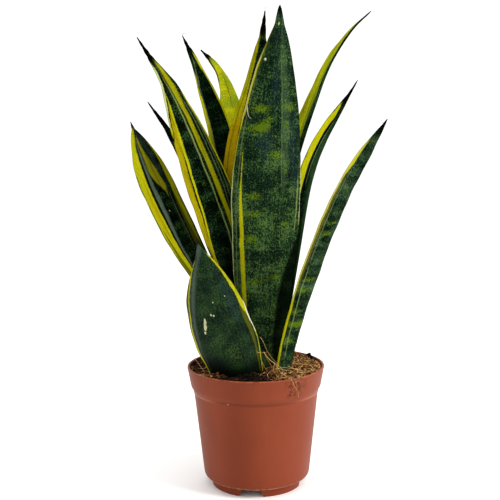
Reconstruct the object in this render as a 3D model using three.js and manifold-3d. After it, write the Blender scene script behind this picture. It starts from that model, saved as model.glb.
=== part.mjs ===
// Potted golden flame snake plant: eleven leaves on four creeping rhizomes, in a plastic nursery pot.
// Millimetres, +Z up. The origin is the centre of the pot's foot on the surface, and the front is -Y.
import * as THREE from 'three';
import { mergeVertices } from 'three/addons/utils/BufferGeometryUtils.js';
import Module from 'manifold-3d';

const wasm = await Module();
wasm.setup();

// Clearance between two pieces that touch.
const GAP = 0.35;
// How far a cutting body runs past the face that it cuts.
const PAST = 1;
// Points nearer together than this are one point.
const SAME_POINT = 1e-4;

// The pot's outside, from the foot up. Radii are of the outer wall, heights are above the surface.
const POT = {
  wall: 1.6,
  footRadius: 34.6,
  footFlare: 0.4,
  footHeight: 6.1,
  footWidth: 2.2,
  floorBottom: 4.5,
  floorTop: 6.6,
  floorEdge: 2,
  floorRise: 0.6,
  cornerRadius: 40.8,
  cornerHeight: 10.4,
  cornerSteps: [{ out: 0.7, up: 0.8 }, { out: 0.93, up: 2.4 }],
  bodyRadius: 47.8,
  bodyHeight: 74.5,
  bandRadius: 50.1,
  bandHeight: 78.4,
  rimRadius: 52.5,
  rimHeight: 93,
  lip: 0.7,
  sides: 64,
};
const NOTCH = {
  count: 4,
  firstTurn: -97.4,
  topWidth: 13.7,
  bottomWidth: 19.5,
  height: 5.4,
  innerRadius: 25.5,
  depth: 12,
};
const DRAIN = { count: 4, ring: 19, radius: 4, middleRadius: 5, sides: 20 };

// The soil is heaped a little. Its lumps are a sum of two waves, in radians a millimetre.
const SOIL = {
  edgeDrop: 2.2,
  heap: 3.5,
  lump: 0.9,
  rings: 7,
  bottomEdge: 2.4,
  wave: { x: 0.31, xStart: 0.8, y: 0.27, yStart: -0.4 },
  slantWave: { share: 0.6, x: 0.13, y: -0.19 },
};

// Each rhizome lies flat in the soil: its two ends, and the height of its axis.
const RHIZOME = {
  radius: 8,
  height: 46.4,
  ringPitch: 8,
  ringDepth: 0.8,
  ringHalf: 1,
  endRadiusShare: 0.6,
  endLengthShare: 0.14,
  sides: 12,
};
const RHIZOMES = [
  { name: 'rhizome_front', from: [-36, -5], to: [9, -18] },
  { name: 'rhizome_right', from: [25, -26], to: [17, 29] },
  { name: 'rhizome_middle', from: [-19, 3], to: [9, 15] },
  { name: 'rhizome_back', from: [-28, 22], to: [8, 35] },
];

// How every leaf is made. Shares run from 0 at the soil to 1 at the tip.
const LEAF = {
  stations: 18,
  buriedStations: 3,
  facePoints: 6,
  crownWidth: 13,
  crownThickness: 5,
  crownBend: 50,
  footThickness: 4,
  middleThickness: 2.8,
  marginThickness: 1,
  pointWidth: 3,
  tipWidth: 1.4,
  tipThickness: 1.2,
  fullness: 0.8,
  curveSteps: 60,
  socketTop: 0.16,
  socketDepth: 0.8,
};

// route: the leaf's middle line, from its crown on the rhizome, through the soil's surface, to its tip.
// width: across the leaf laid flat, at its foot and where it is widest; widest: that place's share.
// back: the way that the leaf's back faces, at the foot and at the tip, in degrees from +X.
// bend: how far the leaf's section is rolled, at the foot, half way and at the tip, in degrees.
// point: the length of the thin dried tip; taper: how full the blade stays towards it.
const LEAVES = [
  {
    name: 'leaf_front_tall',
    route: [[5, -16, 55], [1, -14, 91], [6, -14, 145], [9, -14, 228], [15, -16, 300], [20, -19, 360]],
    width: [36, 54.5], widest: 0.45, back: [-86, -90], bend: [100, 62, 30], point: 3, taper: 1.9,
  },
  {
    name: 'leaf_front_short',
    route: [[-20, -13, 57], [-16, -31, 90], [-31, -38, 143], [-41, -42, 193]],
    width: [48, 55], widest: 0.3, back: [-96, -104], bend: [115, 104, 50], point: 4, taper: 1.9,
  },
  {
    name: 'leaf_front_right',
    route: [[23, -17, 55], [22, -22, 91], [35, -32, 148], [61, -50, 222], [91, -61, 278]],
    width: [17, 23], widest: 0.5, back: [-45, -38], bend: [70, 40, 20], point: 5, taper: 4.5,
  },
  {
    name: 'leaf_left_low',
    route: [[-30, -7, 55], [-26, -5, 91], [-36, -5, 150], [-57, -2, 190], [-71, 3, 220], [-93, 14, 279]],
    width: [13, 42], widest: 0.62, back: [150, 140], bend: [90, 80, 30], point: 6, taper: 3.15,
  },
  {
    name: 'leaf_left_tall',
    route: [[-9, 7, 55], [-9, 4, 91], [-14, 3, 158], [-35, 3, 234], [-61, 4, 300], [-85.3, 4, 340.8]],
    width: [20, 40], widest: 0.52, back: [118, 118], bend: [90, 50, 20], point: 22, taper: 1.6,
  },
  {
    name: 'leaf_left_hidden',
    route: [[-20, 25, 55], [-20, 27, 91], [-22, 27, 138], [-31, 33, 194], [-63, 40, 265], [-83, 45, 295]],
    width: [16, 24], widest: 0.4, back: [165, 150], bend: [80, 40, 20], point: 16, taper: 2,
  },
  {
    name: 'leaf_back_left',
    route: [[-11, 26, 55], [-12, 18, 91], [-14, 21, 156], [-23, 29, 257], [-42, 37, 318], [-54, 40, 345]],
    width: [18, 25], widest: 0.5, back: [120, 120], bend: [90, 40, 20], point: 14, taper: 2,
  },
  {
    name: 'leaf_back_yellow',
    route: [[2, 33, 55], [3, 40, 91], [-5, 45, 169], [-16, 52, 280], [-27, 57, 320], [-41, 60, 336]],
    width: [18, 29], widest: 0.5, back: [105, 115], bend: [90, 50, 20], point: 12, taper: 1.8,
  },
  {
    name: 'leaf_back_tall',
    route: [[6, 13, 55], [5, 14, 91], [-3, 15, 150], [-6, 17, 249], [4, 20, 309], [10, 22, 361]],
    width: [18, 35], widest: 0.5, back: [88, 92], bend: [90, 50, 20], point: 12, taper: 1.6,
  },
  {
    name: 'leaf_right_tall',
    route: [
      [18, 20, 55], [15, 26, 91], [26, 38, 217], [50, 47, 295], [63, 52, 326], [79.5, 56, 350], [95.5, 60, 365],
    ],
    width: [20, 43], widest: 0.5, back: [12.5, 12.5], bend: [90, 79, 24], point: 8, taper: 1.5,
  },
  {
    name: 'leaf_right_mid',
    route: [[21, 2, 55], [20, 4, 91], [35, 16, 188], [45, 19, 237], [55, 21, 264], [81, 28, 309]],
    width: [20, 40], widest: 0.56, back: [-12, -20], bend: [90, 84, 24], point: 14, taper: 1.9,
  },
];

const radians = THREE.MathUtils.degToRad;
const mix = THREE.MathUtils.lerp;

function toSolid(geometry) {
  const bare = geometry.clone();
  bare.deleteAttribute('normal');
  bare.deleteAttribute('uv');
  const merged = mergeVertices(bare, SAME_POINT);
  return new wasm.Manifold(new wasm.Mesh({
    numProp: 3,
    vertProperties: new Float32Array(merged.attributes.position.array),
    triVerts: new Uint32Array(merged.index.array),
  }));
}

function toGeometry(solid) {
  const mesh = solid.getMesh();
  const geometry = new THREE.BufferGeometry();
  geometry.setAttribute('position', new THREE.BufferAttribute(mesh.vertProperties, 3));
  geometry.setIndex(new THREE.BufferAttribute(mesh.triVerts, 1));
  geometry.computeVertexNormals();
  return geometry;
}

// A closed profile turned round the Z axis.
function turned(profile, sides) {
  const points = profile.map(([radius, height]) => new THREE.Vector2(radius, height));
  const geometry = new THREE.LatheGeometry(points, sides);
  geometry.rotateX(Math.PI / 2);
  return geometry;
}

function upright(radius, bottom, top, sides) {
  return turned([[0, bottom], [radius, bottom], [radius, top], [0, top]], sides);
}

// The inner wall's radius at a height, with the wall's thickness taken off.
function innerRadius(height) {
  const outline = [
    [POT.cornerRadius, POT.cornerHeight],
    [POT.bodyRadius, POT.bodyHeight],
    [POT.bandRadius, POT.bandHeight],
    [POT.rimRadius, POT.rimHeight],
  ];
  const above = outline.findIndex((point) => point[1] >= height);
  const [high, low] = [outline[Math.max(above, 1)], outline[Math.max(above, 1) - 1]];
  const share = (height - low[1]) / (high[1] - low[1]);
  return mix(low[0], high[0], share) - POT.wall;
}

function potGeometry() {
  const p = POT;
  const footInside = p.footRadius - p.footWidth;
  const profile = [
    [0, p.floorBottom],
    [footInside, p.floorBottom],
    [footInside, 0],
    [p.footRadius, 0],
    [p.footRadius + p.footFlare, p.footHeight],
    ...p.cornerSteps.map(({ out, up }) => [mix(p.footRadius, p.cornerRadius, out), p.footHeight + up]),
    [p.cornerRadius, p.cornerHeight],
    [p.bodyRadius, p.bodyHeight],
    [p.bandRadius, p.bandHeight],
    [p.rimRadius, p.rimHeight - p.lip],
    [p.rimRadius - p.lip / 2, p.rimHeight],
    [p.rimRadius - p.wall + p.lip / 2, p.rimHeight],
    [p.rimRadius - p.wall, p.rimHeight - p.lip],
    [p.bandRadius - p.wall, p.bandHeight],
    [p.bodyRadius - p.wall, p.bodyHeight],
    [p.cornerRadius - p.wall, p.cornerHeight],
    [p.footRadius, p.floorTop + p.floorRise],
    [p.footRadius - p.floorEdge, p.floorTop],
    [0, p.floorTop],
  ];
  let solid = toSolid(turned(profile, p.sides));

  const drain = upright(DRAIN.radius, p.floorBottom - PAST, p.floorTop + PAST, DRAIN.sides);
  for (let i = 0; i < DRAIN.count; i += 1) {
    const turn = radians(NOTCH.firstTurn) + (2 * Math.PI * (i + 0.5)) / DRAIN.count;
    const hole = drain.clone().translate(DRAIN.ring * Math.cos(turn), DRAIN.ring * Math.sin(turn), 0);
    solid = solid.subtract(toSolid(hole));
  }
  const middle = upright(DRAIN.middleRadius, p.floorBottom - PAST, p.floorTop + PAST, DRAIN.sides);
  solid = solid.subtract(toSolid(middle));

  const notch = new THREE.Shape([
    new THREE.Vector2(-NOTCH.bottomWidth / 2, -PAST),
    new THREE.Vector2(NOTCH.bottomWidth / 2, -PAST),
    new THREE.Vector2(NOTCH.topWidth / 2, NOTCH.height),
    new THREE.Vector2(-NOTCH.topWidth / 2, NOTCH.height),
  ]);
  for (let i = 0; i < NOTCH.count; i += 1) {
    const cut = new THREE.ExtrudeGeometry(notch, { depth: NOTCH.depth, bevelEnabled: false });
    cut.rotateX(Math.PI / 2);
    cut.translate(0, -NOTCH.innerRadius, 0);
    cut.rotateZ(radians(NOTCH.firstTurn + 90 + (360 * i) / NOTCH.count));
    solid = solid.subtract(toSolid(cut));
  }
  return toGeometry(solid);
}

// How high the soil's surface stands at a place.
function soilHeight(x, y) {
  const out = Math.min(1, Math.hypot(x, y) / innerRadius(POT.rimHeight));
  const { wave, slantWave } = SOIL;
  const across = Math.sin(x * wave.x + wave.xStart) * Math.cos(y * wave.y + wave.yStart);
  const lumps = across + slantWave.share * Math.sin(x * slantWave.x + y * slantWave.y);
  return POT.rimHeight - SOIL.edgeDrop + SOIL.heap * (1 - out * out) + SOIL.lump * lumps;
}

function soilBody() {
  const edge = POT.rimHeight - SOIL.edgeDrop;
  const profile = [
    [0, POT.floorTop + GAP],
    [POT.footRadius - SOIL.bottomEdge, POT.floorTop + GAP],
    [POT.cornerRadius - POT.wall - GAP, POT.cornerHeight + GAP],
    [POT.bodyRadius - POT.wall - GAP, POT.bodyHeight],
    [POT.bandRadius - POT.wall - GAP, POT.bandHeight],
    [innerRadius(edge) - GAP, edge],
  ];
  for (let i = SOIL.rings - 1; i >= 0; i -= 1) {
    profile.push([((innerRadius(edge) - GAP) * i) / SOIL.rings, edge]);
  }
  const geometry = turned(profile, POT.sides / 2);
  const place = geometry.attributes.position;
  for (let i = 0; i < place.count; i += 1) {
    if (Math.abs(place.getZ(i) - edge) < SAME_POINT) {
      place.setZ(i, soilHeight(place.getX(i), place.getY(i)));
    }
  }
  return toSolid(geometry);
}

// A ringed rod with rounded ends, laid from one point to the other. "grow" makes the hole for it.
function rhizomeGeometry({ from, to }, grow) {
  const start = new THREE.Vector3(from[0], from[1], RHIZOME.height);
  const end = new THREE.Vector3(to[0], to[1], RHIZOME.height);
  const length = start.distanceTo(end) + 2 * grow;
  const radius = RHIZOME.radius + grow;
  const rings = Math.round(length / RHIZOME.ringPitch);
  const endRadius = radius * RHIZOME.endRadiusShare;
  const endLength = radius * RHIZOME.endLengthShare;
  const profile = [[0, 0], [endRadius, endLength]];
  for (let i = 1; i < rings; i += 1) {
    const ring = (length * i) / rings;
    profile.push([radius - RHIZOME.ringDepth, ring - RHIZOME.ringHalf]);
    profile.push([radius, ring + RHIZOME.ringHalf]);
  }
  profile.push([endRadius, length - endLength], [0, length]);
  const geometry = turned(profile, RHIZOME.sides);
  const direction = end.clone().sub(start).normalize();
  const turn = new THREE.Quaternion().setFromUnitVectors(new THREE.Vector3(0, 0, 1), direction);
  geometry.applyQuaternion(turn);
  start.addScaledVector(direction, -grow);
  return geometry.translate(start.x, start.y, start.z);
}

// A value given at the foot, half way and at the tip, read at a share.
function along(values, share) {
  const s = THREE.MathUtils.clamp(share, 0, 1);
  return s < 0.5 ? mix(values[0], values[1], s * 2) : mix(values[1], values[2], s * 2 - 1);
}

function leafWidth(leaf, share, length) {
  const [foot, full] = leaf.width;
  if (share < 0) {
    return mix(foot, LEAF.crownWidth, -share);
  }
  if (share < leaf.widest) {
    return mix(foot, full, (1 - Math.cos((Math.PI * share) / leaf.widest)) / 2);
  }
  const bladeEnd = 1 - leaf.point / length;
  if (share < bladeEnd) {
    const q = (share - leaf.widest) / (bladeEnd - leaf.widest);
    return mix(full, LEAF.pointWidth, q ** leaf.taper);
  }
  return mix(LEAF.pointWidth, LEAF.tipWidth, (share - bladeEnd) / (1 - bladeEnd));
}

function leafThickness(share) {
  if (share < 0) {
    return mix(LEAF.footThickness, LEAF.crownThickness, -share);
  }
  return along([LEAF.footThickness, LEAF.middleThickness, LEAF.tipThickness], share);
}

// The closed ring of points round one section: the back face, then the inner face in reverse.
function leafRing(leaf, curve, soilShare, share, grow) {
  const place = share < 0 ? soilShare * (1 + share) : mix(soilShare, 1, share);
  const centre = curve.getPointAt(place);
  const tangent = curve.getTangentAt(place);
  const turn = radians(mix(leaf.back[0], leaf.back[1], Math.max(share, 0)));
  const back = new THREE.Vector3(Math.cos(turn), Math.sin(turn), 0);
  back.addScaledVector(tangent, -back.dot(tangent)).normalize();
  const side = new THREE.Vector3().crossVectors(tangent, back);

  const length = curve.getLength() * (1 - soilShare);
  const width = leafWidth(leaf, share, length) + 2 * grow;
  const rolled = share < 0 ? mix(leaf.bend[0], LEAF.crownBend, -share) : along(leaf.bend, share);
  const bend = radians(rolled);
  const radius = width / bend;
  const middle = leafThickness(share) / 2;
  const margin = Math.min(LEAF.marginThickness / 2, middle);

  const faces = [[], []];
  for (let i = 0; i < LEAF.facePoints; i += 1) {
    const across = (2 * i) / (LEAF.facePoints - 1) - 1;
    const angle = (across * bend) / 2;
    const half = mix(margin, middle, (1 - across * across) ** LEAF.fullness) + grow;
    [half, -half].forEach((offset, face) => {
      const point = centre.clone();
      point.addScaledVector(back, (radius + offset) * Math.cos(angle) - radius);
      point.addScaledVector(side, (radius + offset) * Math.sin(angle));
      faces[face].push(point);
    });
  }
  return [...faces[0], ...faces[1].reverse()];
}

// Rings are joined so that both faces are split along the same diagonals.
function loft(rings) {
  const count = rings[0].length;
  const position = rings.flat().flatMap((point) => point.toArray());
  const index = [];
  for (let i = 0; i < rings.length - 1; i += 1) {
    for (let j = 0; j < count; j += 1) {
      const next = (j + 1) % count;
      const [a, b] = [i * count + j, i * count + next];
      const [c, d] = [a + count, b + count];
      index.push(...(j < count / 2 ? [a, b, d, a, d, c] : [a, b, c, b, d, c]));
    }
  }
  for (let j = 0; j < count / 2 - 1; j += 1) {
    const [a, b, c, d] = [j, j + 1, count - 2 - j, count - 1 - j];
    const top = (rings.length - 1) * count;
    index.push(a, d, b, b, d, c);
    index.push(top + a, top + b, top + d, top + b, top + c, top + d);
  }
  const geometry = new THREE.BufferGeometry();
  geometry.setAttribute('position', new THREE.Float32BufferAttribute(position, 3));
  geometry.setIndex(index);
  return geometry;
}

function leafGeometry(leaf, grow, top) {
  const points = leaf.route.map((point) => new THREE.Vector3(...point));
  const curve = new THREE.CatmullRomCurve3(points, false, 'centripetal');
  const parts = points.length - 1;
  curve.arcLengthDivisions = LEAF.curveSteps * parts;
  const lengths = curve.getLengths();
  const soilShare = lengths[LEAF.curveSteps] / lengths[LEAF.curveSteps * parts];
  const rings = [];
  for (let i = 0; i < LEAF.buriedStations; i += 1) {
    rings.push(leafRing(leaf, curve, soilShare, i / LEAF.buriedStations - 1, grow));
  }
  for (let i = 0; i <= LEAF.stations; i += 1) {
    const share = i / LEAF.stations;
    if (share <= top) {
      rings.push(leafRing(leaf, curve, soilShare, share, grow));
    }
  }
  if (grow > 0) {
    rings[0].forEach((point) => point.addScaledVector(curve.getTangentAt(0), -LEAF.socketDepth));
  }
  return loft(rings);
}

const plant = new THREE.Group();

function add(name, geometry, colour, roughness, metalness = 0) {
  geometry.computeVertexNormals();
  const material = new THREE.MeshStandardMaterial({ color: colour, roughness, metalness });
  const mesh = new THREE.Mesh(geometry, material);
  mesh.name = name;
  plant.add(mesh);
}

add('pot', potGeometry(), 0x8c4a32, 0.55);

let soil = soilBody();
for (const rhizome of RHIZOMES) {
  soil = soil.subtract(toSolid(rhizomeGeometry(rhizome, GAP)));
  add(rhizome.name, rhizomeGeometry(rhizome, 0), 0xc98a4b, 0.7);
}
for (const leaf of LEAVES) {
  soil = soil.subtract(toSolid(leafGeometry(leaf, GAP, LEAF.socketTop)));
  add(leaf.name, leafGeometry(leaf, 0, 1), 0x2c4a28, 0.4);
}
add('soil', toGeometry(soil), 0x33231a, 0.95);

export default plant;
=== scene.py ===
"""Potted golden flame snake plant: its looks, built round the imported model. The front is -Y."""
import math
from types import SimpleNamespace as Sizes

import bmesh
import bpy
import numpy as np
from mathutils import Matrix, Vector, noise


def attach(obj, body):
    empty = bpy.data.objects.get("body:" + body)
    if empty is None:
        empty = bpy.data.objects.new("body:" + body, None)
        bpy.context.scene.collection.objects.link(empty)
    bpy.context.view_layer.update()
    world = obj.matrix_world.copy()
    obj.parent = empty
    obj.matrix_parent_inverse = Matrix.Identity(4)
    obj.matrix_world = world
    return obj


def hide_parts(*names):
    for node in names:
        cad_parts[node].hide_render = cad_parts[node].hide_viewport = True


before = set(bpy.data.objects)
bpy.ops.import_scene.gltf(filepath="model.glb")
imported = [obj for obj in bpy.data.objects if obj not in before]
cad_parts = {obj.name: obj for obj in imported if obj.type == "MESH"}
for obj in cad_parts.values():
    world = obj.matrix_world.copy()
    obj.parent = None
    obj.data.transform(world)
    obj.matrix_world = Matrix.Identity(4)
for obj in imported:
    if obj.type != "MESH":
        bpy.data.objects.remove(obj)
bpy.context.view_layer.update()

# Lengths are in millimetres, as in the part's source. Only the studio's and those of bumps are in metres.
MM = 0.001

# How every leaf is made. Shares run from 0 at the soil to 1 at the tip, and below 0 in the soil.
CROWN_WIDTH, CROWN_THICKNESS, CROWN_BEND = 13, 5, 50
FOOT_THICKNESS, MIDDLE_THICKNESS, TIP_THICKNESS = 4, 2.8, 1.2
MARGIN_THICKNESS, POINT_WIDTH, FULLNESS = 1, 3, 0.8
BURIED_STATIONS, STATIONS, POINT_STATIONS, CURVE_STEPS = 8, 150, 30, 60
# A dried point of at least this length is a needle, which is wider. Widths: at its start, middle and end.
NEEDLE, NEEDLE_WIDTHS, SHORT_WIDTHS = 10, (4.6, 2.2, 0.7), (3.2, 1.7, 0.7)
# How far the blade's margins and middle wave, and how much of its width the dried point loses and gains.
MARGIN_WAVE, MIDDLE_WAVE, SHRIVEL = 0.22, 0.3, 0.16
# How the points across a leaf crowd towards its margins, as the end of a sine in radians.
CROWDING = 1.35
# The share over which the blade joins its dried point, and how thick a leaf may be as a part of its width.
POINT_JOIN, THICKEST = 0.03, 0.7
# Past its first and last places a stripe narrows over this share to this width, which shows nothing.
STRIPE_FADE, NO_STRIPE = 0.03, -0.8

POT = Sizes(
    wall=1.6, foot_radius=34.6, foot_flare=0.4, foot_height=6.1, foot_width=2.2, floor_bottom=4.5,
    floor_top=6.6, floor_edge=2, floor_rise=0.6, corner_radius=40.8, corner_height=10.4, body_radius=47.8,
    body_height=74.5, ledge=0.4, band_radius=50.1, band_height=78.4, rim_radius=52.5, rim_height=93,
    sides=224,
)
NOTCH = Sizes(
    count=4, first_turn=-97.4, top_width=13.7, bottom_width=19.5, height=5.4, corner=1.2, inner_radius=25.5,
    depth=12,
)
DRAIN = Sizes(count=4, ring=19, radius=4, middle_radius=5, sides=40)
SOIL = Sizes(edge_drop=2.2, heap=3.5, lump=0.9, crumbs=1700, wall_crumbs=420, fibres=950, band_fibres=26)

# sRGB colours as they look on a face towards the viewer, which gets this many times a white sky's light.
LIGHT_LEVEL = 1.42
COLOURS = dict(
    deep=(10, 28, 16), pine=(26, 46, 30), green=(46, 70, 34), fern=(32, 56, 28), moss=(52, 76, 36),
    sea=(42, 64, 42), sage=(80, 104, 62), fair=(76, 104, 50), light=(86, 112, 18), fresh=(130, 148, 84),
    lime=(140, 158, 26), yellow=(178, 174, 12), bright=(194, 196, 20), golden=(160, 146, 8),
    amber=(164, 138, 8), citron=(160, 158, 12), mustard=(150, 146, 20), olive=(80, 84, 8),
    bronze=(104, 92, 24), straw=(186, 184, 84), pale=(176, 184, 124), cream=(222, 222, 186),
    # sheen and steel paint highlights; dusk paints shadow as well as dark marks.
    scar=(206, 206, 160), grey=(78, 98, 78), vein=(96, 116, 72), veil=(84, 110, 78), sheen=(104, 120, 108),
    steel=(84, 100, 86), slate=(44, 56, 60), chill=(30, 48, 60), dusk=(3, 8, 4), black=(3, 9, 4),
    tip=(5, 6, 3),
)
# How strongly these stripes cover what is under them, and how soft their edges are in millimetres.
SOFT = dict(
    grey=(0.55, 0.6), vein=(0.7, 0.3), veil=(0.22, 1.6), sheen=(0.4, 2.0), chill=(0.3, 2.6),
    slate=(0.45, 2.2), steel=(0.85, 0.8), fresh=(0.8, 0.5), bronze=(0.75, 0.5), fern=(0.7, 3.6),
    dusk=(0.93, 1.6), olive=(0.85, 0.7), mustard=(0.9, 0.8), citron=(0.85, 0.6), cream=(0.95, 0.3),
)
FIRM = (0.95, 0.3)

LEAVES = []


def read_rows(text, percents):
    """Rows of numbers from text. The first ones of a row may be percentages, which become parts of 1."""
    table = [[float(word) for word in row.split()] for row in text.split(",") if row.strip()]
    return [tuple(v / 100 if i < percents else v for i, v in enumerate(row)) for row in table]


def add_leaf(name, body, stripes, zones="", blotches="", shades="", scars="", ridges="", low_trim="",
             high_trim="", damp=0.3, gloss=0.0, calm=1.0, barred=1.6, **sizes):
    """Adds a leaf to LEAVES. Shares and places across are percentages here, and lengths are millimetres."""
    named = [row.split(":") for row in stripes.split(";")]
    LEAVES.append(Sizes(
        name=name, body=body.split(), zones=read_rows(zones, 2),
        stripes=[(colour.strip(), read_rows(places, 2)) for colour, places in named],
        blotches=read_rows(blotches, 2), shades=read_rows(shades, 2), scars=read_rows(scars, 2),
        ridges=read_rows(ridges, 1), trims={-1: read_rows(low_trim, 1), 1: read_rows(high_trim, 1)},
        damp=damp, gloss=gloss, calm=calm, barred=barred, **sizes,
    ))


# Some shades are the leaf's own dark marks, and some are painted shade between leaves and at the feet.
# route, width, widest, back, bend, point and taper are those of the part's source.
# across: how many points the leaf's section has on each face.
# body: its colours from the darkest to the flecks. dark: the share from which the tip is dried.
# damp: how dark its foot is painted, as shade at the soil. gloss: how much it reflects.
# calm: how strong its mottling is. barred: how strong its crossbars are.
# zones: from one share to another the body grows lighter, or darker where the amount is below 0.
# stripes: a colour, then places on it: share, across (-100 and 100 are the margins) and width in mm.
# blotches and shades: share, across, half length in mm, half width as a part of the leaf's, strength.
# scars: share, across, half length and half width in mm. ridges: across, height in mm, half width.
# low_trim and high_trim: how far that margin stands back from the plain outline, as share and mm.
add_leaf(
    "leaf_front_tall", width=(36, 54.5), widest=0.45, back=(-86, -90), bend=(100, 62, 30),
    point=3, taper=1.9, across=61, body="deep pine green fair", dark=0.978, damp=0, calm=1.6,
    route=[(5, -16, 55), (1, -14, 91), (6, -14, 145), (9, -14, 228), (15, -16, 300), (20, -19, 360)],
    zones="0 2 -0.12, 50 30 0.08, 60 80 -0.1",
    # veil is a painted highlight beside the ridge, and dusk a painted shadow over the lower right.
    stripes="""
        vein: 40 -82 0.5, 55 -80 0.7, 70 -86 0.6, 80 -84 0.5;
        vein: 24 -86 0.7, 40 -80 0.6, 50 -74 0.4;
        veil: 50 46 2, 60 48 5, 75 50 6.4, 86 46 4, 93 46 2;
        vein: 52 40 0.3, 60 38 0.5, 75 35 0.6, 87 34 0.4;
        chill: 52 80 5, 60 75 8, 68 75 6, 72 78 3;
        chill: 60 -10 6, 63 -15 12, 66 -10 5;
        chill: 76 10 3, 79 10 6, 82 10 3;
        dusk: 0 90 9, 5 100 14, 10 100 19.5, 20 100 24.4, 25 100 22.4, 30 100 18, 35 100 8, 38 100 2;
        yellow: 0 -62 2.6, 20 -63 3.1, 30 -64.5 3.3, 40 -64.5 3, 45 -66 2.5, 50 -69 1.6, 55 -72 0.7,
            60 -75 0.3;
        pale: 0 -100 1, 35 -100 1.4, 50 -100 1.6, 62 -100 1.4;
        golden: 56 -100 1, 62 -100 2.2, 68 -100 1.4;
        yellow: 67 -100 1.4, 71 -100 2.6, 80 -100 3, 88 -100 2.2, 90 -100 1;
        pale: 70 -100 0.8, 80 -100 1.2, 88 -100 0.8;
        olive: 80 -88 0.5, 86 -84 1, 92 -80 1.2, 94 -78 0.6;
        fresh: 40 84 0.4, 44 87 0.8, 50 90 1, 54 91 0.5;
        pale: 42 100 0.8, 50 100 1, 58 100 0.6
    """,
    blotches="""
        72.5 -42 3.4 0.42 1.1, 67.2 -50 3.6 0.3 0.9, 67.8 -20 4.6 0.2 1.3, 70 -5 2.4 0.16 0.7,
        60.5 20 2.6 0.36 1, 58 50 3 0.14 0.6, 80 50 7 0.12 0.6, 73.5 62 3.4 0.34 1, 69 50 4 0.16 0.8,
        56 50 3 0.14 0.6, 49 -32 3.4 0.3 0.9, 44 -32 3.4 0.34 0.8, 41 -15 2.4 0.12 0.6, 41.5 52 3 0.14 0.9,
        37.2 -40 4 0.2 1.1, 27 35 3 0.3 0.8, 25.5 -25 3.4 0.34 0.8, 32 30 5 0.4 0.35, 12 25 16 0.3 0.35
    """,
    shades="92 -30 25 0.8 0.3, 63 -20 5 0.4 0.35, 78 0 6 0.4 0.3",
    scars="85.7 -62 1.1 0.9, 95.2 5 1.4 0.4",
    ridges="38 0.35 0.07",
    low_trim="27 0, 35 1, 41 1.8, 46 1, 52 0.5, 56 0, 84 0, 90 1.4, 95 2.4, 97 1.4, 100 0",
    high_trim="92 0, 95 0.8, 100 0",
)
add_leaf(
    "leaf_front_short", width=(48, 55), widest=0.3, back=(-96, -104), bend=(115, 104, 50),
    point=4, taper=1.9, across=61, body="black deep fern moss", dark=0.985, damp=0.2, gloss=0.04,
    calm=0.75, barred=0.5,
    route=[(-20, -13, 57), (-16, -31, 90), (-31, -38, 143), (-41, -42, 193)],
    # sheen is a painted highlight down the left side.
    stripes="""
        chill: 40 55 3, 55 62 6, 70 60 4;
        olive: 2 86 1.4, 10 85 2, 20 83 2.4, 30 80 3.4, 40 80 3.4, 47 83 2.6, 52 86 1.4;
        yellow: 38 93 1.4, 42 91 2.4, 46 89 3, 50 89 3.6, 55 91 3, 60 92 2.7, 70 93 2, 80 95 1.4, 90 97 0.9;
        yellow: 0 97 1.6, 8 98 1.7, 20 100 1.8, 30 100 2;
        cream: 27 100 1.2, 33 100 2, 40 100 2.2, 46 100 1.4, 52 100 0.6;
        olive: 42 -100 3, 50 -100 5, 60 -100 5, 70 -100 4.4, 78 -100 2;
        yellow: 0 -90 3, 20 -92 3.6, 30 -92 3.8, 38 -90 3, 44 -86 2, 50 -84 1.4, 60 -82 1.2, 70 -80 1.2,
            86 -75 1.3;
        sheen: 30 -72 1.6, 45 -68 2.4, 55 -65 3.2, 65 -61 3.6, 75 -56 3, 84 -45 1.6, 90 -30 2.4, 96 0 3
    """,
    blotches="20 20 8 0.4 0.4, 34 -5 12 0.3 0.25, 10 10 5 0.5 0.3, 80 45 4 0.2 0.35",
    # The first two shades are painted shade over the foot; the third is the dark outer margin.
    shades="0 0 11 2 0.9, 10 -60 14 0.5 0.9, 62 -92 16 0.06 0.7",
    scars="""
        45.5 -29 2.4 0.9, 43 -32 2.6 1.1, 40.8 -35 2 0.9, 38 -38 1.2 0.8, 49.2 -7 0.9 0.6, 48.3 0 0.8 0.6,
        57.5 8 0.7 0.4, 60 50 0.5 0.4
    """,
    low_trim="50 0, 60 0.5, 70 1.5, 80 2.8, 86 2.5, 90 2.2, 95 1, 100 0",
    high_trim="22 0, 30 1.6, 36 2.2, 43 1.6, 50 0.4, 60 0",
)
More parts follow.
